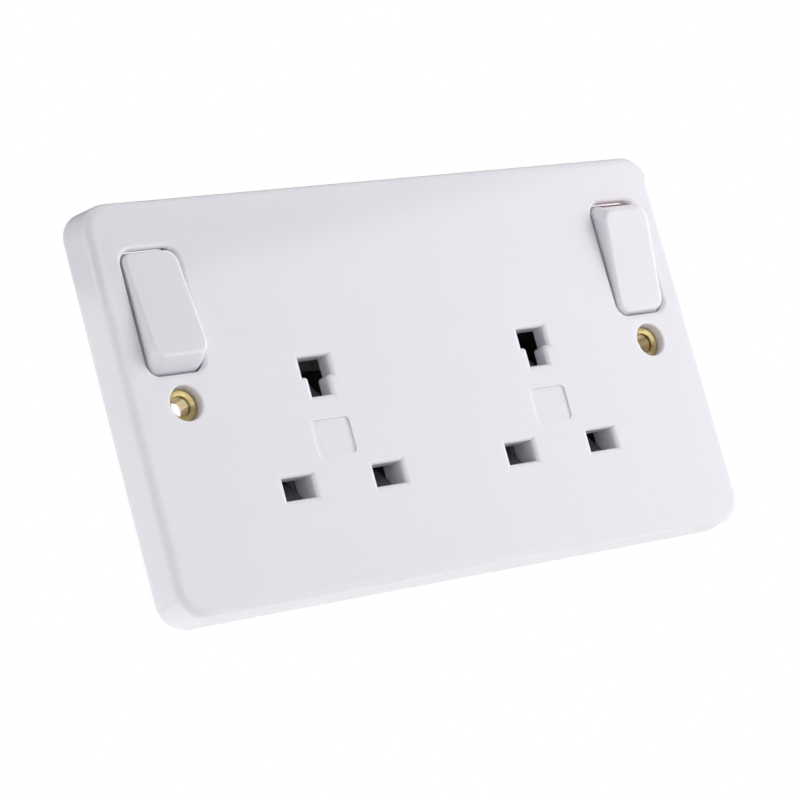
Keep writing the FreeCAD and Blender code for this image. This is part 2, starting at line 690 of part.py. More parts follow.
def coil(label, diameter, length):
    """A coil spring along Z from the origin, its turns drawn as short straight chords."""
    mean = (value(diameter) - value("dims.wire")) / 2
    end = value("dims.wire") * COIL_END
    rise = value(length) - 2 * end
    steps = SPRING_TURNS * CHORDS_PER_TURN
    points = []
    for step in range(steps + 1):
        turn = 2 * math.pi * step / CHORDS_PER_TURN
        height = end + rise * step / steps
        points.append(FreeCAD.Vector(mean * math.cos(turn), mean * math.sin(turn), height))
    path = Part.makePolygon(points)
    half = value("dims.wire") / 2
    corners = [(-half, -half), (half, -half), (half, half), (-half, half), (-half, -half)]
    section = Part.makePolygon(
        [points[0] + FreeCAD.Vector(across, 0, along) for across, along in corners]
    )
    spring = doc.addObject("Part::Feature", label)
    spring.Label = label
    spring.Shape = path.makePipeShell([section], True, False, 1)
    return spring


def plunger_spring(side, sign):
    """The coil behind a plunger, inside the rocker's tower."""
    front = "dims.tower_length - dims.bore_depth"
    length = f"dims.plunger_reach - dims.plunger_length - ({front})"
    spring = coil(f"{side}_plunger_spring", "dims.plunger_spring_diameter", length)
    tilt = FreeCAD.Rotation(FreeCAD.Vector(1, 0, 0), REST_TILT[side] * value("dims.rocker_tilt"))
    along_bore = FreeCAD.Rotation(FreeCAD.Vector(1, 0, 0), -90)
    pivot = FreeCAD.Vector(value(f"{sign} * {SWITCH_X}"), value(PIVOT), value("dims.rocker_z"))
    start = tilt.multVec(FreeCAD.Vector(0, value(front), 0))
    spring.Placement = FreeCAD.Placement(pivot + start, tilt * along_bore)
    return spring


def rocking_contact(side, sign):
    """The brass see-saw that the plunger tips, with its silver button."""
    body = make_body(f"{side}_rocking_contact")
    back = "-dims.knife_gap"
    front = f"({back} - dims.brass_thick)"
    half = "dims.contact_width / 2"
    sketch, _ = layer(body, "Pad", "blade", front, back)
    rectangle(sketch, f"-{half}", half, "-dims.arm_down", "dims.arm_up")
    sketch, _ = layer(body, "Pad", "flanges", f"{front} - dims.contact_flange", back)
    for hand in SIDES.values():
        edges = [f"{hand} * {half}", f"{hand} * ({half} + dims.brass_thick)"]
        rectangle(sketch, *edges[::hand], "-dims.arm_down", "dims.button_arm / 2")
    sketch, _ = layer(body, "Pad", "button", back, f"{back} + dims.button_height")
    circle(sketch, "0", "dims.button_arm", "dims.button_diameter")
    tip = value(f"{back} + dims.button_height")
    round_edges(body, "button_round", "dims.button_round", lambda edge: lies_at(edge, "Y", tip))
    place(body, f"{sign} * {SWITCH_X}", "dims.contact_y", "dims.rocker_z")
    body.setExpression("Placement.Rotation.Axis.x", "1")
    body.setExpression("Placement.Rotation.Axis.z", "0")
    body.setExpression("Placement.Rotation.Angle", f"-({REST_TILT[side]} * dims.contact_tilt)")
    return body


def fixed_contact(side, sign):
    """The rivet on a live strap that the see-saw's button meets when the switch is on."""
    body = make_body(f"{side}_fixed_contact")
    closed = (
        "dims.contact_y + (dims.button_height - dims.knife_gap) * cos(dims.contact_tilt)"
        " + (dims.button_arm + dims.button_diameter / 4) * sin(dims.contact_tilt)"
    )
    sketch, _ = layer(body, "Pad", "rivet", f"{closed} + dims.closed_gap", STRAP_FRONT)
    circle(sketch, f"{sign} * {SWITCH_X}", "dims.rocker_z + dims.button_arm", "dims.button_diameter")
    return body


# Eyelets and earth links

def eyelet(side, sign):
    """A rolled brass eyelet that lines a fixing hole and clenches the earth link."""
    body = make_body(f"{side}_eyelet")
    sketch = start_sketch(body, "profile", "XY_Plane", "0")
    bore = "dims.eyelet_bore / 2"
    barrel = f"({bore} + dims.eyelet_wall)"
    rim = "dims.eyelet_flange / 2"
    foot = f"({LINK_BACK} - {SEAT})"
    outline = [
        (bore, f"{foot} + dims.eyelet_wall"),
        (bore, "0"),
        (f"{barrel} + dims.press_clearance", "-dims.flange_thick / 2"),
        (f"{rim} - dims.eyelet_wall", "-dims.flange_thick"),
        (rim, "-dims.flange_thick / 2"),
        (rim, "0"),
        (barrel, "0"),
        (barrel, foot),
        (f"{barrel} + dims.eyelet_wall", foot),
        (barrel, f"{foot} + dims.eyelet_wall"),
    ]
    polygon(sketch, outline)
    turned = body.newObject("PartDesign::Revolution", f"{body.Name}_turned")
    turned.Profile = sketch
    turned.ReferenceAxis = (sketch, ["V_Axis"])
    turned.Angle = 360
    crest = value("-dims.flange_thick")
    round_edges(body, "crest", "dims.eyelet_wall / 2", lambda edge: lies_at(edge, "Y", crest))
    place(body, f"{sign} * {FIXING_X}", SEAT, "0")
    return body


def earth_link(side, sign):
    """The strip from an eyelet to the earth strap."""
    body = make_body(f"{side}_earth_link")
    middle = f"{sign} * {FIXING_X}"
    near = f"{sign} * (dims.earth_run_end - dims.brass_thick)"
    half = "dims.link_width / 2"
    top = "dims.earth_run_z + dims.strap_width / 2"
    sketch, _ = layer(body, "Pad", "ring", LINK_FRONT, LINK_BACK)
    circle(sketch, middle, "0", "dims.fixing_boss")
    sketch, _ = layer(body, "Pad", "strip", LINK_FRONT, LINK_BACK)
    corners = [
        (middle, f"-{half}"),
        (middle, half),
        (f"{sign} * (dims.link_riser_x + dims.strap_width / 2)", half),
        (f"{sign} * (dims.link_riser_x + dims.strap_width / 2)", top),
        (near, top),
        (near, f"-{half}"),
    ]
    polygon(sketch, corners)
    sketch, _ = layer(body, "Pad", "leg", LINK_FRONT, STRAP_FRONT)
    edges = [near, f"{sign} * dims.earth_run_end"]
    rectangle(sketch, *edges[::sign], "dims.earth_run_z - dims.strap_width / 2", top)
    sketch, _ = layer(body, "Pocket", "eyelet_hole", LINK_FRONT, LINK_BACK)
    circle(sketch, middle, "0", "dims.eyelet_bore + 2 * (dims.eyelet_wall + dims.press_clearance)")
    return body


# Shutters

def wedge(body, name, width, low, high):
    """A ramp across the shutter that a pin pushes down as it goes in."""
    sketch, _ = side_layer(body, "Pad", name, "0", width)
    polygon(
        sketch,
        [
            (SHUTTER_FRONT, low),
            (SHUTTER_BACK, low),
            (SHUTTER_BACK, high),
            (SHUTTER_FRONT, f"{high} - dims.slot_height - dims.shutter_toe"),
        ],
    )


def shutter(side, sign):
    """The sliding guard behind one outlet, with a ramp at each aperture."""
    body = make_body(f"{side}_shutter")
    outer = f"({SLOT_OUTER} - dims.shutter_gap)"
    column = f"({SLOT_INNER} + dims.rail_thick / 2)"
    wedge(body, "slot_ramps", f"2 * {outer}", SHUTTER_LOW, f"{SLOT_HIGH} + dims.shutter_gap")
    clear = f"({SLOT_INNER} + dims.shutter_gap)"
    sketch, _ = layer(body, "Pocket", "rail_room", SHUTTER_FRONT, BRIDGE_FRONT)
    room_low = f"{SHUTTER_LOW} - dims.rail_thick"
    rectangle(sketch, f"-{clear}", clear, room_low, f"{SLOT_HIGH} + dims.rail_thick")
    sketch, _ = layer(body, "Pad", "bridge", BRIDGE_FRONT, SHUTTER_BACK)
    corners = [
        (column, SHUTTER_LOW),
        (column, BRIDGE_LOW),
        (outer, BRIDGE_LOW),
        (outer, BRIDGE_HIGH),
    ]
    mirrored = [(f"-{across}", along) for across, along in reversed(corners)]
    polygon(sketch, corners + mirrored)
    tongue_low = f"{BRIDGE_HIGH} - dims.bridge_height / 2"
    tongue_high = f"{EARTH_LOW} + dims.slot_height"
    wedge(body, "earth_ramp", "dims.tongue_width", tongue_low, tongue_high)
    foot = "dims.spring_foot / 2"
    sketch, _ = layer(body, "Pad", "spring_foot", f"{SPRING_Y} - {foot}", BRIDGE_FRONT)
    rectangle(sketch, f"-{foot}", foot, SHUTTER_LOW, f"{SHUTTER_LOW} + dims.seat_thick")
    place(body, f"{sign} * dims.outlet_x")
    return body


def shutter_spring(side, sign):
    """The coil that lifts a shutter back over its apertures."""
    spring = coil(f"{side}_shutter_spring", "dims.shutter_spring_diameter", "dims.shutter_spring_length")
    spring.Placement.Base = FreeCAD.Vector(
        value(f"{sign} * dims.outlet_x"), value(SPRING_Y), value(SPRING_LOW)
    )
    return spring


# Contacts and conductors

def pin_clip(label, across, along, turned):
    """A U of spring brass that grips a plug pin, pinched and flared at its mouth."""
    body = make_body(label)
    sheet_thick = "dims.clip_sheet"
    mouth = "-dims.clip_arm"
    throat = f"({mouth} + dims.clip_lead)"
    base = f"-{sheet_thick}"
    outside = [
        ("0", f"dims.clip_gap / 2 + {sheet_thick}"),
        (throat, f"dims.clip_pinch / 2 + {sheet_thick}"),
        (mouth, f"dims.clip_flare / 2 + {sheet_thick}"),
        (mouth, "dims.clip_flare / 2"),
        (throat, "dims.clip_pinch / 2"),
        (base, "dims.clip_gap / 2"),
    ]
    mirrored = [(depth, f"-({height})") for depth, height in reversed(outside)]
    sketch, _ = side_layer(body, "Pad", "strip", "0", "dims.clip_width")
    polygon(sketch, outside + mirrored)
    place(body, across, STRAP_FRONT, along)
    body.setExpression("Placement.Rotation.Axis.y", "1")
    body.setExpression("Placement.Rotation.Axis.z", "0")
    body.setExpression("Placement.Rotation.Angle", turned)
    return body


def live_strap(side, sign):
    """The strip from a switch's fixed contact to its outlet's live clip."""
    body = make_body(f"{side}_live_strap")
    clip = f"{sign} * dims.outlet_x + dims.pin_pitch / 2"
    near = f"{clip} - {sign} * {TAB_REACH}"
    far = f"{clip} + {sign} * {TAB_REACH}"
    half = "dims.strap_width / 2"
    inner = f"{sign} * (dims.live_run_x - {half})"
    outer = f"{sign} * (dims.live_run_x + {half})"
    rise_inner = f"{sign} * (dims.live_rise_x - {half})"
    rise_outer = f"{sign} * (dims.live_rise_x + {half})"
    end = f"{sign} * ({SWITCH_X} + {half})"
    low = f"dims.line_z - {TAB_REACH}"
    contact = "(dims.rocker_z + dims.button_arm)"
    sketch, _ = layer(body, "Pad", "strip", STRAP_FRONT, FLOOR)
    corners = [
        (near, low),
        (far, low),
        (far, f"dims.live_run_z - {half}"),
        (outer, f"dims.live_run_z - {half}"),
        (outer, f"dims.live_jog_z - {half}"),
        (rise_outer, f"dims.live_jog_z - {half}"),
        (rise_outer, f"{contact} - {half}"),
        (end, f"{contact} - {half}"),
        (end, f"{contact} + {half}"),
        (rise_inner, f"{contact} + {half}"),
        (rise_inner, f"dims.live_jog_z + {half}"),
        (inner, f"dims.live_jog_z + {half}"),
        (inner, f"dims.live_run_z + {half}"),
        (near, f"dims.live_run_z + {half}"),
    ]
    polygon(sketch, corners)
    return body


def live_bar():
    """The strip on edge that feeds both switches and is the see-saws' knife edge."""
    body = make_body("live_bar")
    end = f"({SWITCH_X} + dims.contact_width / 2)"
    half = "dims.brass_thick / 2"
    sketch, _ = layer(body, "Pad", "strip", LIVE_BAR_FRONT, LIVE_BAR_BACK)
    rectangle(sketch, f"-{end}", end, f"dims.rocker_z - {half}", f"dims.rocker_z + {half}")
    return body


def flat_strap(label, run, tabs, holes):
    """A flat strap on the tray's floor: a run along X, tabs along Z and screw holes."""
    body = make_body(label)
    half = "dims.strap_width / 2"
    left, right, along = run
    sketch, _ = layer(body, "Pad", "run", STRAP_FRONT, FLOOR)
    rectangle(sketch, left, right, f"{along} - {half}", f"{along} + {half}")
    for index, (across, low, high) in enumerate(tabs):
        sketch, _ = layer(body, "Pad", f"tab_{index}", STRAP_FRONT, FLOOR)
        rectangle(sketch, f"{across} - {TAB_REACH}", f"{across} + {TAB_REACH}", low, high)
    sketch, _ = layer(body, "Pocket", "screw_holes", STRAP_FRONT, FLOOR)
    for across, along in holes:
        circle(sketch, across, along, "dims.terminal_screw + 2 * dims.press_clearance")
    return body


def neutral_strap():
    """The strap that joins both neutral clips and their terminal."""
    clips = [f"{sign} * dims.outlet_x - dims.pin_pitch / 2" for sign in SIDES.values()]
    run = (f"{clips[0]} - {TAB_REACH}", f"{clips[1]} + {TAB_REACH}", "dims.neutral_run_z")
    tabs = [(clip, "dims.neutral_run_z", f"dims.line_z + {TAB_REACH}") for clip in clips]
    holes = [(across, along) for name, across, along, _ in TERMINALS if name == "neutral_terminal"]
    return flat_strap("neutral_strap", run, tabs, holes)


def earth_strap():
    """The strap that joins both earth clips, both earth links and the earth terminals."""
    holes = [(across, along) for name, across, along, _ in TERMINALS if name.endswith("earth_terminal")]
    low = f"{EARTH_Z} - {TAB_REACH}"
    tabs = [(f"{sign} * dims.outlet_x", low, "dims.earth_run_z") for sign in SIDES.values()]
    tabs += [(across, "dims.earth_run_z", TERMINAL_TOP) for across, _ in holes]
    run = ("-dims.earth_run_end", "dims.earth_run_end", "dims.earth_run_z")
    return flat_strap("earth_strap", run, tabs, holes)


# Terminals: name, place across, height of the clamp screw, front of the block
UPPER_SCREW_Z = f"({TERMINAL_TOP} - dims.terminal_height / 2)"
BLOCK_ON_STRAP = f"({STRAP_FRONT} - dims.terminal_deep)"
BLOCK_ON_FLOOR = f"({FLOOR} - dims.terminal_deep)"
TERMINALS = [
    ("live_terminal", "dims.live_terminal_x", UPPER_SCREW_Z, BLOCK_ON_FLOOR),
    ("earth_terminal", "dims.earth_terminal_x", UPPER_SCREW_Z, BLOCK_ON_STRAP),
    ("clean_earth_terminal", "-dims.outlet_x", UPPER_SCREW_Z, BLOCK_ON_STRAP),
    ("neutral_terminal", "dims.neutral_terminal_x", f"-{UPPER_SCREW_Z}", BLOCK_ON_STRAP),
]


def terminal(label, across, along, front):
    """A brass block bored for its cables, with a tapped hole for its clamp screw."""
    body = make_body(label)
    half_width = "dims.terminal_width / 2"
    half_height = "dims.terminal_height / 2"
    back = f"({front} + dims.terminal_deep)"
    sketch, _ = layer(body, "Pad", "block", front, back)
    low = f"{along} - {half_height}"
    high = f"{along} + {half_height}"
    rectangle(sketch, f"{across} - {half_width}", f"{across} + {half_width}", low, high)
    sketch, _ = plan_layer(body, "Pocket", "cable_bore", low, high)
    circle(sketch, across, f"{front} + dims.terminal_deep / 2", "dims.terminal_bore")
    sketch, _ = layer(body, "Pocket", "screw_hole", f"{front} + dims.terminal_deep / 2", back)
    circle(sketch, across, along, "dims.terminal_screw + 2 * dims.press_clearance")
    return body


def terminal_screws():
    """The clamp screws, driven from the back."""
    screws = []
    for name, across, along, front in TERMINALS:
        body = make_body(f"{name}_screw")
        tip = f"{front} + (dims.terminal_deep + dims.terminal_bore) / 2"
        head = f"{FLOOR} + dims.terminal_head_height"
        sketch, _ = layer(body, "Pad", "shank", tip, FLOOR)
        circle(sketch, across, along, "dims.terminal_screw")
        sketch, _ = layer(body, "Pad", "head", FLOOR, head)
        circle(sketch, across, along, "dims.terminal_head")
        sketch, _ = layer(body, "Pocket", "slot", f"{head} - dims.screw_slot", head)
        half = "dims.screw_slot / 2"
        reach = "dims.terminal_head"
        left = f"{across} - {reach}"
        right = f"{across} + {reach}"
        rectangle(sketch, left, right, f"{along} - {half}", f"{along} + {half}")
        screws.append(body)
    return group("terminal_screws", screws)


def assembly_screws():
    """The screws that hold the rear moulding to the plate."""
    screws = []
    for index, (across, along) in enumerate(ASSEMBLY_SCREWS):
        body = make_body(f"assembly_screw_{index}")
        tip = "dims.tray_front - dims.screw_engage + dims.press_clearance"
        seat = "dims.tray_back - dims.screw_head_height"
        sketch, _ = layer(body, "Pad", "shank", tip, seat)
        circle(sketch, across, along, "dims.screw_shank")
        sketch, _ = layer(body, "Pad", "head", seat, "dims.tray_back")
        circle(sketch, across, along, "dims.screw_head")
        sketch, _ = layer(body, "Pocket", "slot", "dims.tray_back - dims.screw_slot", "dims.tray_back")
        half = "dims.screw_slot / 2"
        reach = "dims.screw_head"
        left = f"{across} - {reach}"
        right = f"{across} + {reach}"
        rectangle(sketch, left, right, f"{along} - {half}", f"{along} + {half}")
        screws.append(body)
    return group("assembly_screws", screws)


def group(label, bodies):
    """Like fasteners kept as one node of separate solids."""
    together = doc.addObject("Part::Compound", label)
    together.Label = label
    together.Links = bodies
    return together


def build():
    """Every sub-part of the socket, in the order it is put together."""
    pieces = [front_plate(), rear_moulding()]
    for side, sign in SIDES.items():
        pieces += [rocker(side, sign), plunger(side, sign), plunger_spring(side, sign)]
        pieces += [rocking_contact(side, sign), fixed_contact(side, sign), live_strap(side, sign)]
        pieces += [eyelet(side, sign), earth_link(side, sign)]
        pieces += [shutter(side, sign), shutter_spring(side, sign)]
        outlet = f"{sign} * dims.outlet_x"
        for pole, hand in LIVE_SIGN.items():
            across = f"{outlet} + {hand} * dims.pin_pitch / 2"
            pieces.append(pin_clip(f"{side}_{pole}_clip", across, "dims.line_z", "0"))
        pieces.append(pin_clip(f"{side}_earth_clip", outlet, EARTH_Z, "90"))
    pieces += [live_bar(), neutral_strap(), earth_strap()]
    pieces += [terminal(*row) for row in TERMINALS]
    pieces += [terminal_screws(), assembly_screws()]
    return pieces


def check(pieces):
    """Stop if any object failed or any sub-part's shape is unsound."""
    doc.recompute()
    for item in doc.Objects:
        if "Invalid" in item.State or "Error" in item.State:
            raise RuntimeError(f"{item.Name} failed: {item.State}")
    for piece in pieces:
        if piece.Shape.isNull() or not piece.Shape.isValid() or not piece.Shape.Solids:
            raise RuntimeError(f"{piece.Label} has no sound shape")


def write(pieces):
    """One file for each sub-part."""
    os.makedirs("parts", exist_ok=True)
    for piece in pieces:
        piece.Shape.exportStep(f"parts/{piece.Label}.step")
        box = piece.Shape.BoundBox
        print(piece.Label, len(piece.Shape.Solids), round(piece.Shape.Volume, 1), box)


sub_parts = build()
check(sub_parts)
write(sub_parts)
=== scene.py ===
import json
import logging
import math
from dataclasses import dataclass, replace
from enum import Enum
from typing import Any, Sequence

import bmesh
import bpy
from mathutils import Matrix, Quaternion, Vector


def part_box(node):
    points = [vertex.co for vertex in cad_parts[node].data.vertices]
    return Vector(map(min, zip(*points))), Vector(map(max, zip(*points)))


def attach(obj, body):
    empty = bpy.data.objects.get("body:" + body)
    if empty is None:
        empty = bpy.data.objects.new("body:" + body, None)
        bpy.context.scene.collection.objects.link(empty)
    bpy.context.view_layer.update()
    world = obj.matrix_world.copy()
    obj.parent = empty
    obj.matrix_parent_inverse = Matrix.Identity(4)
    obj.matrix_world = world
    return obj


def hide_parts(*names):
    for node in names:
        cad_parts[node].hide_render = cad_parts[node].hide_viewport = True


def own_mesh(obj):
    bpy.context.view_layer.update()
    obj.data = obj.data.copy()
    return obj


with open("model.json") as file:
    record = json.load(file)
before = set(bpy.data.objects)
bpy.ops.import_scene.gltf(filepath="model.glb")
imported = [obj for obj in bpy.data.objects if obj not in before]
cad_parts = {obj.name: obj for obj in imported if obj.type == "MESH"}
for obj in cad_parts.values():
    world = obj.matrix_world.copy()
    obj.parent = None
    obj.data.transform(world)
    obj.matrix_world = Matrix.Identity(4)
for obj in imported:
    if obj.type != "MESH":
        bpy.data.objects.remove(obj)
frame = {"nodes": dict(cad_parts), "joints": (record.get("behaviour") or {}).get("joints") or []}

Colour = tuple[float, float, float]
Point = tuple[float, float, float]

MM = 0.001
LOG = logging.getLogger("twin_socket")

BLACK: Colour = (0.0, 0.0, 0.0)
PURE_WHITE: Colour = (1.0, 1.0, 1.0)
EVEN: Point = (1.0, 1.0, 1.0)
NOISE_MEAN = 0.5
PATCH_EDGES = (0.3, 0.7)


class Side(Enum):
    """The two halves of the socket, as seen from the front."""

    LEFT = "left"
    RIGHT = "right"

    def piece(self, name: str) -> str:
        """The full name of this half's piece."""
        return f"{self.value}_{name}"


class Pole(Enum):
    """The three contacts of an outlet."""

    LIVE = "live"
    NEUTRAL = "neutral"
    EARTH = "earth"


class Ray(Enum):
    """The kinds of light path that the background tells apart."""

    CAMERA = "Is Camera Ray"
    GLOSSY = "Is Glossy Ray"
    TRANSMISSION = "Is Transmission Ray"


class MixSocket(Enum):
    """The places of the Mix node's sockets for colours."""

    SHARE = 0
    BELOW = 6
    ABOVE = 7
    RESULT = 2


def joint(name: str) -> dict[str, Any]:
    """One joint of the frame, by its name."""
    return next(item for item in frame["joints"] if item["name"] == name)


class Signal:
    """A number that changes over a surface, with arithmetic that adds Math nodes."""

    def __init__(self, recipe: "Recipe", socket: bpy.types.NodeSocket) -> None:
        """Wrap one output socket of a recipe's tree."""
        self.recipe = recipe
        self.socket = socket

    def _math(self, operation: str, *terms: "Signal | float") -> "Signal":
        """Add one Math node.

        Args:
            operation: The node's operation.
            terms: Its inputs in order, as signals or plain numbers.

        Returns:
            The node's result.
        """
        return self.recipe.signal("ShaderNodeMath", {"operation": operation}, dict(enumerate(terms)))

    def __add__(self, other: "Signal | float") -> "Signal":
        """This signal plus another."""
        return self._math("ADD", self, other)

    __radd__ = __add__

    def __sub__(self, other: "Signal | float") -> "Signal":
        """This signal less another."""
        return self._math("SUBTRACT", self, other)

    def __rsub__(self, other: float) -> "Signal":
        """A number less this signal."""
        return self._math("SUBTRACT", other, self)

    def __mul__(self, other: "Signal | float") -> "Signal":
        """This signal times another."""
        return self._math("MULTIPLY", self, other)

    __rmul__ = __mul__

    def __pow__(self, other: "Signal | float") -> "Signal":
        """This signal to a power."""
        return self._math("POWER", self, other)

    def __abs__(self) -> "Signal":
        """The size of this signal."""
        return self._math("ABSOLUTE", self)

    def step(self, start: float, end: float) -> "Signal":
        """A soft step, which falls as this signal grows where its end lies below its start.

        Args:
            start: Where the step is still 0.
            end: Where the step has reached 1.

        Returns:
            A signal from 0 to 1.
        """
        sockets = {
            "Value": self,
            "From Min": min(start, end),
            "From Max": max(start, end),
            "To Min": float(start > end),
            "To Max": float(start < end),
        }
        return self.recipe.signal("ShaderNodeMapRange", {"interpolation_type": "SMOOTHSTEP"}, sockets)


class Recipe:
    """The node tree of one material or world, built node by node."""

    def __init__(self, owner: bpy.types.Material | bpy.types.World) -> None:
        """Start an empty tree on its owner.

        Args:
            owner: The material or world that the tree belongs to.
        """
        owner.use_nodes = True
        self.owner = owner
        self.tree = owner.node_tree
        self.tree.nodes.clear()

    def node(self, kind: str, settings: dict[str, Any], sockets: dict[Any, Any]) -> bpy.types.Node:
        """Add a node.

        Args:
            kind: The node's type.
            settings: Its own settings, a ramp's stops among them, set first.
            sockets: A value, signal or socket for each input, by name or place.

        Returns:
            The new node.
        """
        made = self.tree.nodes.new(kind)
        for name, setting in settings.items():
            if name == "stops":
                self._set_stops(made.color_ramp, setting)
            else:
                setattr(made, name, setting)
        for key, value in sockets.items():
            source = value.socket if isinstance(value, Signal) else value
            if isinstance(source, bpy.types.NodeSocket):
                self.tree.links.new(source, made.inputs[key])
            else:
                made.inputs[key].default_value = source
        return made

    @staticmethod
    def _set_stops(ramp: bpy.types.ColorRamp, stops: Sequence[tuple[float, Colour]]) -> None:
        """Give a ramp its stops, in order.

        Args:
            ramp: The ramp to fill.
            stops: The place and colour of each stop.
        """
        while len(ramp.elements) < len(stops):
            ramp.elements.new(1.0)
        for element, (place, colour) in zip(ramp.elements, stops):
            element.position = place
            element.color = (*colour, 1.0)

    def signal(self, kind: str, settings: dict[str, Any], sockets: dict[Any, Any]) -> Signal:
        """Add a node and take its first output as a signal."""
        return Signal(self, self.node(kind, settings, sockets).outputs[0])

    def place(self) -> bpy.types.NodeSocket:
        """Where on the piece a point lies, in metres in the shared frame."""
        return self.node("ShaderNodeTexCoord", {}, {}).outputs["Object"]

    def direction(self) -> bpy.types.NodeSocket:
        """Which way a world's point lies, as a unit vector."""
        return self.node("ShaderNodeTexCoord", {}, {}).outputs["Generated"]

    def parts(self, vector: bpy.types.NodeSocket) -> list[Signal]:
        """A vector's X, Y and Z."""
        split = self.node("ShaderNodeSeparateXYZ", {}, {"Vector": vector})
        return [Signal(self, output) for output in split.outputs]

    def ray(self, kind: Ray) -> Signal:
        """1 on one kind of light path, and otherwise 0."""
        return Signal(self, self.node("ShaderNodeLightPath", {}, {}).outputs[kind.value])

    def seen(self) -> Signal:
        """1 for what the eye sees, straight or through something clear, and otherwise 0."""
        return self.ray(Ray.CAMERA) + self.ray(Ray.TRANSMISSION)

    def mirrored(self) -> Signal:
        """1 for what a reflection shows, and otherwise 0."""
        return self.ray(Ray.GLOSSY)

    def noise(self, size: float, detail: float = 2.0, stretch: Point = EVEN) -> Signal:
        """A cloudy pattern.

        Args:
            size: How far apart its blobs are, in metres.
            detail: How many finer octaves it holds.
            stretch: How much denser it is along each axis.

        Returns:
            A signal about NOISE_MEAN.
        """
        spread = self.node("ShaderNodeMapping", {}, {"Vector": self.place(), "Scale": stretch})
        sockets = {"Vector": spread.outputs[0], "Scale": 1 / size, "Detail": detail}
        return self.signal("ShaderNodeTexNoise", {}, sockets)

    def tint(self, share: Signal, low: Colour, high: Colour) -> bpy.types.NodeSocket:
        """A colour between two, by a signal from 0 to 1."""
        settings = {"stops": [(0.0, low), (1.0, high)]}
        return self.node("ShaderNodeValToRGB", settings, {"Fac": share}).outputs["Color"]

    def over(self, share: Signal, below: bpy.types.NodeSocket, above: Colour) -> bpy.types.NodeSocket:
        """Lay a colour over another.

        Args:
            share: 1 where the upper colour shows, and 0 where the lower one does.
            below: The lower colour.
            above: The upper colour.

        Returns:
            The two colours as one.
        """
        sockets = {
            MixSocket.SHARE.value: share,
            MixSocket.BELOW.value: below,
            MixSocket.ABOVE.value: (*above, 1.0),
        }
        mix = self.node("ShaderNodeMix", {"data_type": "RGBA"}, sockets)
        return mix.outputs[MixSocket.RESULT.value]

    def bump(self, height: Signal, distance: float) -> bpy.types.NodeSocket:
        """A surface normal bent by a height signal, whose full swing is a distance in metres."""
        sockets = {"Height": height, "Distance": distance, "Strength": 1.0}
        return self.node("ShaderNodeBump", {}, sockets).outputs["Normal"]

    def surface(self, sockets: dict[str, Any]) -> bpy.types.Material:
        """Finish a material with one Principled shader.

        Args:
            sockets: The shader's inputs.

        Returns:
            The finished material.
        """
        shader = self.node("ShaderNodeBsdfPrincipled", {}, sockets)
        self.node("ShaderNodeOutputMaterial", {}, {"Surface": shader.outputs[0]})
        return self.owner


@dataclass(frozen=True)
class RockerBar:
    """The coloured bar printed across a rocker's upper end, in the rocker's own frame. Its red is printed,
    and it is painted dark as painted shade for the shadow that the bar lies in.
    """

    pivot: Point
    tilt: float
    # printed red, painted dark as painted shade for the shadow that the bar lies in
    colour: Colour = (0.22, 0.012, 0.014)
    half_width: float = 4.2 * MM
    front: float = -4.7 * MM
    back: float = -2.2 * MM
    end_height: float = 11.0 * MM
    feather: float = 0.12 * MM

    def printed(self, recipe: Recipe, plastic: bpy.types.NodeSocket) -> bpy.types.NodeSocket:
        """Print the bar, with the rocker's rest tilt about X taken out.

        Args:
            recipe: The rocker's material.
            plastic: The colour under the bar.

        Returns:
            The colour with the bar on it.
        """
        centred = recipe.node(
            "ShaderNodeVectorMath", {"operation": "SUBTRACT"}, {0: recipe.place(), 1: self.pivot}
        )
        level = recipe.node(
            "ShaderNodeVectorRotate",
            {"rotation_type": "X_AXIS"},
            {"Vector": centred.outputs[0], "Angle": -self.tilt},
        )
        across, depth, height = recipe.parts(level.outputs[0])
        inside = abs(across).step(self.half_width + self.feather, self.half_width)
        inside *= depth.step(self.front - self.feather, self.front)
        inside *= depth.step(self.back + self.feather, self.back)
        inside *= height.step(self.end_height - self.feather, self.end_height)
        return recipe.over(inside, plastic, self.colour)


@dataclass(frozen=True)
class MouldedPlastic:
    """Moulded plastic with a faint cloud of shade, a fine orange-peel skin and a soft gloss.

    Light goes a little way into a plastic that scatters, which softens its edges.
    """

    name: str
    colour: Colour
    shade: Colour
    roughness: float
    gloss_drift: float = 0.05
    index: float = 1.5
    scatter: float = 0.0
    scatter_depth: float = 1.2 * MM
    cloud_size: float = 18 * MM
    peel_size: float = 1.1 * MM
    peel_height: float = 0.0004 * MM
    bar: RockerBar | None = None

    def material(self) -> bpy.types.Material:
        """Build the material.

        Returns:
            The new material.
        """
        recipe = Recipe(bpy.data.materials.new(self.name))
        cloud = recipe.noise(self.cloud_size)
        peel = recipe.noise(self.peel_size)
        plastic = recipe.tint(cloud, self.shade, self.colour)
        return recipe.surface(
            {
                "Base Color": self.bar.printed(recipe, plastic) if self.bar else plastic,
                "Roughness": self.roughness + self.gloss_drift * (peel - NOISE_MEAN),
                "IOR": self.index,
                "Subsurface Weight": self.scatter,
                "Subsurface Radius": EVEN,
                "Subsurface Scale": self.scatter_depth,
                "Normal": recipe.bump(peel, self.peel_height),
            }
        )


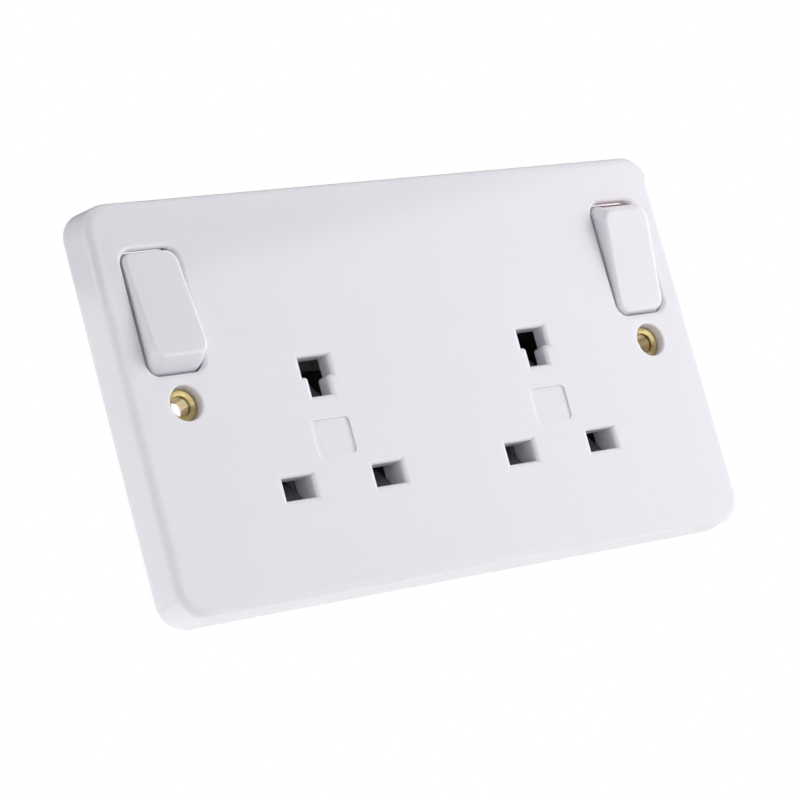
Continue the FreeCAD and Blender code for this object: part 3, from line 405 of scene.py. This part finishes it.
@dataclass(frozen=True)
class PressedBrass:
    """Brass sheet: a drift from bright to dull, with fine drawn lines."""

    name: str
    bright: Colour
    dull: Colour
    roughness: float
    dull_size: float = 2.4 * MM
    dull_detail: float = 4.0
    dull_roughness: float = 0.12
    line_size: float = 0.5 * MM
    line_stretch: Point = (1.0, 6.0, 1.0)
    line_height: float = 0.003 * MM
    line_roughness: float = 0.06

    def material(self) -> bpy.types.Material:
        """Build the material.

        Returns:
            The new material.
        """
        recipe = Recipe(bpy.data.materials.new(self.name))
        drift = recipe.noise(self.dull_size, detail=self.dull_detail)
        lines = recipe.noise(self.line_size, stretch=self.line_stretch)
        brass = recipe.tint(drift.step(*PATCH_EDGES), self.dull, self.bright)
        roughness = self.roughness + self.dull_roughness * (NOISE_MEAN - drift)
        return recipe.surface(
            {
                **self.colour_and_metal(recipe, brass),
                "Roughness": roughness + self.line_roughness * (lines - NOISE_MEAN),
                "Normal": recipe.bump(lines, self.line_height),
            }
        )

    def colour_and_metal(self, recipe: Recipe, brass: bpy.types.NodeSocket) -> dict[str, Any]:
        """The shader's colour and metal, which are those of clean brass all over."""
        return {"Base Color": brass, "Metallic": 1.0}


@dataclass(frozen=True)
class RolledBrass(PressedBrass):
    """Brass of the eyelets: a bright flange, with painted shade as a dark ring in the mouth and a painted
    highlight that turns the bore pale.
    """

    dull_size: float = 1.2 * MM
    line_size: float = 0.4 * MM
    line_stretch: Point = EVEN
    # painted highlight: this pale colour on the bore stands for the light on its wall
    painted_bore_light: Colour = (1.0, 0.84, 0.50)
    # painted shade: this dark colour makes the ring in the mouth
    painted_mouth_shade: Colour = (0.24, 0.18, 0.06)
    flange_metal: float = 0.8
    # metal of the bore where the pale highlight is painted
    bore_metal: float = 0.35
    centre: float = 60.3 * MM
    front: float = 0.0
    bore_radius: float = 2.1 * MM
    bore_edge: float = 0.25 * MM
    mouth_depth: float = 1.0 * MM
    mouth_fade: float = 0.5 * MM

    def colour_and_metal(self, recipe: Recipe, brass: bpy.types.NodeSocket) -> dict[str, Any]:
        """Paint shade as a dark ring in the mouth and a pale highlight down the bore, round the axis of
        either eyelet.

        Args:
            recipe: The eyelets' material.
            brass: The colour of the flange.

        Returns:
            The shader's colour and metal.
        """
        across, depth, height = recipe.parts(recipe.place())
        radius = ((abs(across) - self.centre) ** 2 + height**2) ** 0.5
        bore = radius.step(self.bore_radius + self.bore_edge, self.bore_radius)
        inner = (depth - self.front).step(self.mouth_depth, self.mouth_depth + self.mouth_fade)
        # painted highlight: the bore past the mouth is painted pale
        painted_bore_light = bore * inner
        # painted shade: a dark ring is painted in the mouth of the bore
        mouth_shaded = recipe.over(bore * (1 - inner), brass, self.painted_mouth_shade)
        return {
            "Base Color": recipe.over(painted_bore_light, mouth_shaded, self.painted_bore_light),
            "Metallic": self.flange_metal - (self.flange_metal - self.bore_metal) * painted_bore_light,
        }


@dataclass(frozen=True)
class PlatedMetal:
    """Plated metal: a faint patchy sheen with a fine grain."""

    name: str
    light: Colour
    dark: Colour
    roughness: float
    metal: float = 1.0
    patch_size: float = 1.6 * MM
    patch_detail: float = 3.0
    patch_roughness: float = 0.1
    grain_size: float = 0.25 * MM
    grain_height: float = 0.002 * MM

    def material(self) -> bpy.types.Material:
        """Build the material.

        Returns:
            The new material.
        """
        recipe = Recipe(bpy.data.materials.new(self.name))
        patch = recipe.noise(self.patch_size, detail=self.patch_detail)
        grain = recipe.noise(self.grain_size)
        return recipe.surface(
            {
                "Base Color": recipe.tint(patch.step(*PATCH_EDGES), self.dark, self.light),
                "Metallic": self.metal,
                "Roughness": self.roughness + self.patch_roughness * (patch - NOISE_MEAN),
                "Normal": recipe.bump(grain, self.grain_height),
            }
        )


Finish = MouldedPlastic | PressedBrass | PlatedMetal

WHITE = MouldedPlastic(
    "white_urea",
    colour=(0.805, 0.793, 0.838),
    shade=(0.795, 0.783, 0.828),
    roughness=0.03,
    gloss_drift=0.012,
    index=1.7,
    scatter=0.7,
)
CASE_GREY = MouldedPlastic(
    "case_plastic",
    colour=(0.06, 0.06, 0.064),
    shade=(0.045, 0.045, 0.048),
    roughness=0.5,
    peel_height=0.01 * MM,
)
SHUTTER_BLACK = MouldedPlastic(
    "shutter_plastic", colour=(0.19, 0.19, 0.197), shade=(0.155, 0.155, 0.161), roughness=0.42
)
NYLON = MouldedPlastic(
    "plunger_nylon", colour=(0.72, 0.70, 0.64), shade=(0.66, 0.64, 0.58), roughness=0.35
)
BRASS = PressedBrass(
    "pressed_brass", bright=(0.58, 0.44, 0.15), dull=(0.42, 0.31, 0.10), roughness=0.32
)
EYELET_BRASS = RolledBrass(
    "eyelet_brass",
    bright=(0.86, 0.70, 0.35),
    dull=(0.72, 0.57, 0.25),
    roughness=0.3,
    front=min(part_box(side.piece("eyelet"))[0].y for side in Side),
)
TINNED = PlatedMetal(
    "tinned_bronze", light=(0.62, 0.61, 0.59), dark=(0.48, 0.47, 0.46), roughness=0.45, metal=0.6
)
ZINC = PlatedMetal(
    "zinc_plate", light=(0.66, 0.66, 0.64), dark=(0.50, 0.50, 0.50), roughness=0.36
)
WIRE_STEEL = PlatedMetal(
    "spring_wire", light=(0.58, 0.58, 0.60), dark=(0.42, 0.42, 0.44), roughness=0.28
)


class Painter:
    """Gives nodes and pieces their finishes, and makes each material once."""

    def __init__(self) -> None:
        """Start with no materials made."""
        self.made: dict[str, bpy.types.Material] = {}

    def dress(self, piece: bpy.types.Object, finish: Finish) -> None:
        """Put one finish all over a piece.

        Args:
            piece: A CAD node's object or a new piece.
            finish: The finish to give it.
        """
        if finish.name not in self.made:
            self.made[finish.name] = finish.material()
        piece.data.materials.clear()
        piece.data.materials.append(self.made[finish.name])
        LOG.info("%s wears %s", piece.name, finish.name)

    def dress_node(self, name: str, finish: Finish) -> None:
        """Put one finish all over a CAD node."""
        self.dress(frame["nodes"][name], finish)


@dataclass
class CoilSpring:
    """A round-wire coil spring that stands for a CAD spring, in its place."""

    name: str
    node: str
    body: str
    foot: Vector
    direction: Vector
    length: float
    outside: float
    wire: float
    turns: int = 5
    steps_per_turn: int = 28
    wire_sides: int = 10
    weld_share: float = 0.001

    def build(self, painter: Painter) -> bpy.types.Object:
        """Sweep the wire round its helix and put it where the CAD spring is.

        Args:
            painter: What gives the piece its finish.

        Returns:
            The new piece.
        """
        mesh = bpy.data.meshes.new(self.name)
        shape = bmesh.new()
        self._sweep(shape)
        turn = self.direction.to_track_quat("Z", "Y").to_matrix().to_4x4()
        bmesh.ops.transform(shape, matrix=Matrix.Translation(self.foot) @ turn, verts=shape.verts)
        bmesh.ops.recalc_face_normals(shape, faces=shape.faces)
        for face in shape.faces:
            face.smooth = len(face.verts) < self.wire_sides
        shape.to_mesh(mesh)
        shape.free()
        piece = bpy.data.objects.new(self.name, mesh)
        bpy.context.scene.collection.objects.link(piece)
        painter.dress(piece, WIRE_STEEL)
        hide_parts(self.node)
        return piece

    def _sweep(self, shape: bmesh.types.BMesh) -> None:
        """Spin the wire's round section, rising a little at each step.

        Args:
            shape: The mesh that the wire is built in.
        """
        radius = (self.outside - self.wire) / 2
        upright = Matrix.Rotation(math.pi / 2, 4, "X")
        section = bmesh.ops.create_circle(
            shape,
            cap_ends=True,
            segments=self.wire_sides,
            radius=self.wire / 2,
            matrix=Matrix.Translation((radius, 0, self.wire / 2)) @ upright,
        )
        rim = {edge for vert in section["verts"] for edge in vert.link_edges}
        cap = {face for edge in rim for face in edge.link_faces}
        steps = self.turns * self.steps_per_turn
        rise = (self.length - self.wire) / steps
        bmesh.ops.spin(
            shape,
            geom=section["verts"] + list(rim) + list(cap),
            cent=(0, 0, 0),
            axis=(0, 0, 1),
            dvec=(0, 0, rise),
            angle=self.turns * math.tau,
            steps=steps,
            use_merge=False,
        )
        bmesh.ops.remove_doubles(shape, verts=shape.verts, dist=self.wire * self.weld_share)
        open_rims = [edge for edge in shape.edges if edge.is_boundary]
        bmesh.ops.holes_fill(shape, edges=open_rims, sides=0)


@dataclass
class Switch:
    """One rocker switch: rocker, plunger, spring and contacts."""

    side: Side
    wire: float = 0.4 * MM
    spring_outside: float = 3.3 * MM

    @property
    def hinge(self) -> dict[str, Any]:
        """The joint that the rocker turns on."""
        return joint(self.side.piece("switch_hinge"))

    @property
    def tilt(self) -> float:
        """How far the rocker rests from level about X, which is half of its travel."""
        return -math.radians(sum(self.hinge["range_deg"])) / 2

    def dress(self, painter: Painter) -> None:
        """Finish every piece of the switch and wind its spring.

        Args:
            painter: What gives the pieces their finishes.
        """
        bar = RockerBar(tuple(self.hinge["pos_m"]), self.tilt)
        barred_white = replace(WHITE, name=self.side.piece("rocker_urea"), bar=bar)
        painter.dress_node(self.side.piece("rocker"), barred_white)
        painter.dress_node(self.side.piece("plunger"), NYLON)
        painter.dress_node(self.side.piece("rocking_contact"), BRASS)
        painter.dress_node(self.side.piece("fixed_contact"), BRASS)
        spring = self.spring()
        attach(spring.build(painter), spring.body)

    def spring(self) -> CoilSpring:
        """Place the coil in the rocker's tower, along the tower's tilted axis.

        Returns:
            The coil, not yet built.
        """
        node = self.side.piece("plunger_spring")
        low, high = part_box(node)
        along = Vector((0, math.cos(self.tilt), math.sin(self.tilt)))
        length = self.spring_length(high.y - low.y)
        return CoilSpring(
            self.side.piece("plunger_coil"),
            node,
            body=self.side.piece("switch"),
            foot=(low + high) / 2 - along * length / 2,
            direction=along,
            length=length,
            outside=self.spring_outside,
            wire=self.wire,
        )

    def spring_length(self, depth: float) -> float:
        """How long the tilted coil is, from the depth of the box round it."""
        return (depth - self.spring_outside * abs(math.sin(self.tilt))) / math.cos(self.tilt)


@dataclass
class Outlet:
    """One outlet: its shutter with the coil under it, and the clips behind."""

    side: Side
    wire: float = 0.4 * MM
    spring_outside: float = 3.4 * MM

    def dress(self, painter: Painter) -> None:
        """Finish every piece of the outlet and wind its spring.

        Args:
            painter: What gives the pieces their finishes.
        """
        painter.dress_node(self.side.piece("shutter"), SHUTTER_BLACK)
        for pole in Pole:
            painter.dress_node(self.side.piece(f"{pole.value}_clip"), TINNED)
        spring = self.spring()
        piece = spring.build(painter)
        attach(piece, spring.body)
        self.side.piece("guard_slide")
        tuple(spring.direction)
        self.squeezed(spring.length)
        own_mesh(piece)

    def spring(self) -> CoilSpring:
        """Place the coil between the plate's seat and the shutter's foot.

        Returns:
            The coil, not yet built.
        """
        node = self.side.piece("shutter_spring")
        low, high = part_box(node)
        middle = (low + high) / 2
        return CoilSpring(
            self.side.piece("shutter_coil"),
            node,
            body="socket",
            foot=Vector((middle.x, middle.y, low.z)),
            direction=Vector((0, 0, 1)),
            length=high.z - low.z,
            outside=self.spring_outside,
            wire=self.wire,
        )

    def squeezed(self, length: float) -> float:
        """The share of its length that the coil keeps when the shutter is down."""
        return 1 + min(joint(self.side.piece("guard_slide"))["range_m"]) / length


@dataclass
class Faceplate:
    """The white plate and the eyelets in its fixing holes."""

    def dress(self, painter: Painter) -> None:
        """Finish the plate and its eyelets.

        Args:
            painter: What gives the pieces their finishes.
        """
        painter.dress_node("front_plate", WHITE)
        for side in Side:
            painter.dress_node(side.piece("eyelet"), EYELET_BRASS)


@dataclass
class RearCase:
    """The rear moulding with the conductors, terminals and screws that it holds."""

    conductors: tuple[str, ...] = ("live_bar", "neutral_strap")
    terminals: tuple[str, ...] = ("live", "neutral", "earth", "clean_earth")
    screws: tuple[str, ...] = ("terminal_screws", "assembly_screws")

    def dress(self, painter: Painter) -> None:
        """Finish the case and everything fixed in it.

        Args:
            painter: What gives the pieces their finishes.
        """
        painter.dress_node("rear_moulding", CASE_GREY)
        for name in self.conductors:
            painter.dress_node(name, BRASS)
        for name in self.terminals:
            painter.dress_node(f"{name}_terminal", BRASS)
        for side in Side:
            painter.dress_node(side.piece("live_strap"), BRASS)
            painter.dress_node(side.piece("earth_link"), TINNED)
        painter.dress_node("earth_strap", TINNED)
        for name in self.screws:
            painter.dress_node(name, ZINC)


def facing(place: Point, aim: Point) -> Quaternion:
    """The turn of a lamp or camera that looks from its place to its aim."""
    return (Vector(aim) - Vector(place)).to_track_quat("-Z", "Y")


@dataclass(frozen=True)
class Softbox:
    """A square soft lamp aimed at the object, which lights it without showing in its gloss."""

    name: str
    place: Point
    size: float
    power: float
    aim: Point = (0.0, 0.0, 0.0)

    def light(self) -> None:
        """Add the lamp to the scene."""
        lamp = bpy.data.lights.new(self.name, "AREA")
        lamp.shape = "SQUARE"
        lamp.size = self.size
        lamp.energy = self.power
        holder = bpy.data.objects.new(self.name, lamp)
        holder.visible_camera = False
        holder.visible_glossy = False
        holder.location = self.place
        holder.rotation_mode = "QUATERNION"
        holder.rotation_quaternion = facing(self.place, self.aim)
        bpy.context.scene.collection.objects.link(holder)


@dataclass
class Studio:
    """The pale floor, the soft light, the white surroundings and the camera."""

    floor_height: float = -0.32
    floor_half: float = 4.0
    floor_colour: Colour = (0.82, 0.82, 0.82)
    floor_dimming: float = 0.98
    floor_cloud: float = 0.2
    floor_roughness: float = 0.9
    floor_glow: Colour = (0.42, 0.42, 0.42)
    ambient: float = 0.37
    mirrored: float = 1.1
    ceiling: float = 0.2
    white_height: float = math.sin(math.radians(13.0))
    white_feather: float = math.sin(math.radians(0.4))
    camera_place: Point = (-0.3604, -0.4866, -0.1046)
    camera_aim: Point = (-0.0101, -0.0086, -0.0055)
    camera_roll: float = math.radians(-15.06)
    lens: float = 131.39
    sensor: float = 36.0
    lamps: tuple[Softbox, ...] = (
        Softbox("key", (0.7, -0.7, 0.1), size=0.6, power=4.6),
        Softbox("near_key", (0.42, -0.42, 0.05), size=0.4, power=0.52),
        Softbox("right_fill", (0.95, -0.25, 0.1), size=0.6, power=2.4),
        Softbox("left_fill", (-1.0, -0.05, 0.0), size=0.5, power=3.0),
        Softbox("under_fill", (0.0, 0.15, -0.3), size=0.8, power=3.4),
        Softbox("top_fill", (0.0, -0.1, 0.9), size=0.8, power=2.1),
    )

    def build(self) -> None:
        """Set up everything round the object."""
        self._floor()
        self._surroundings()
        for lamp in self.lamps:
            lamp.light()
        self._camera()
        bpy.context.scene.view_settings.view_transform = "Standard"

    def _floor(self) -> None:
        """Lay the floor under the object."""
        mesh = bpy.data.meshes.new("floor")
        shape = bmesh.new()
        level = Matrix.Translation((0, 0, self.floor_height))
        bmesh.ops.create_grid(shape, x_segments=1, y_segments=1, size=self.floor_half, matrix=level)
        shape.to_mesh(mesh)
        shape.free()
        floor = bpy.data.objects.new("floor", mesh)
        bpy.context.scene.collection.objects.link(floor)
        floor.data.materials.append(self._paper())

    def _paper(self) -> bpy.types.Material:
        """Make the floor's paper, which glows to the eye and in reflections but adds no other light.

        Returns:
            The new material.
        """
        recipe = Recipe(bpy.data.materials.new("floor_paper"))
        dimmed = tuple(self.floor_dimming * part for part in self.floor_colour)
        return recipe.surface(
            {
                "Base Color": recipe.tint(recipe.noise(self.floor_cloud), dimmed, self.floor_colour),
                "Roughness": self.floor_roughness,
                "Emission Color": recipe.tint(recipe.seen() + recipe.mirrored(), BLACK, self.floor_glow),
                "Emission Strength": 1.0,
            }
        )

    def _surroundings(self) -> None:
        """Light the object evenly all round: white to the eye, with a dark ceiling in reflections."""
        world = bpy.data.worlds.new("surroundings")
        bpy.context.scene.world = world
        recipe = Recipe(world)
        seen = recipe.seen()
        mirrored = recipe.mirrored()
        height = recipe.parts(recipe.direction())[-1]
        wall = height.step(self.white_height + self.white_feather, self.white_height - self.white_feather)
        reflection = self.ceiling + (self.mirrored - self.ceiling) * wall
        strength = seen + reflection * mirrored + self.ambient * (1 - seen) * (1 - mirrored)
        glow = recipe.node("ShaderNodeBackground", {}, {"Color": (*PURE_WHITE, 1.0), "Strength": strength})
        recipe.node("ShaderNodeOutputWorld", {}, {"Surface": glow.outputs[0]})

    def _camera(self) -> None:
        """Stand the camera where the photograph was taken from."""
        lens = bpy.data.cameras.new("camera")
        lens.lens = self.lens
        lens.sensor_width = self.sensor
        camera = bpy.data.objects.new("camera", lens)
        camera.location = self.camera_place
        camera.rotation_mode = "QUATERNION"
        roll = Quaternion((0, 0, 1), self.camera_roll)
        camera.rotation_quaternion = facing(self.camera_place, self.camera_aim) @ roll
        bpy.context.scene.collection.objects.link(camera)
        bpy.context.scene.camera = camera


def main() -> None:
    """Dress the socket and set up its studio."""
    logging.basicConfig(level=logging.INFO, format="%(message)s")
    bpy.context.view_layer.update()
    painter = Painter()
    Faceplate().dress(painter)
    RearCase().dress(painter)
    for side in Side:
        Switch(side).dress(painter)
        Outlet(side).dress(painter)
    Studio().build()


if __name__ == "__main__":
    main()
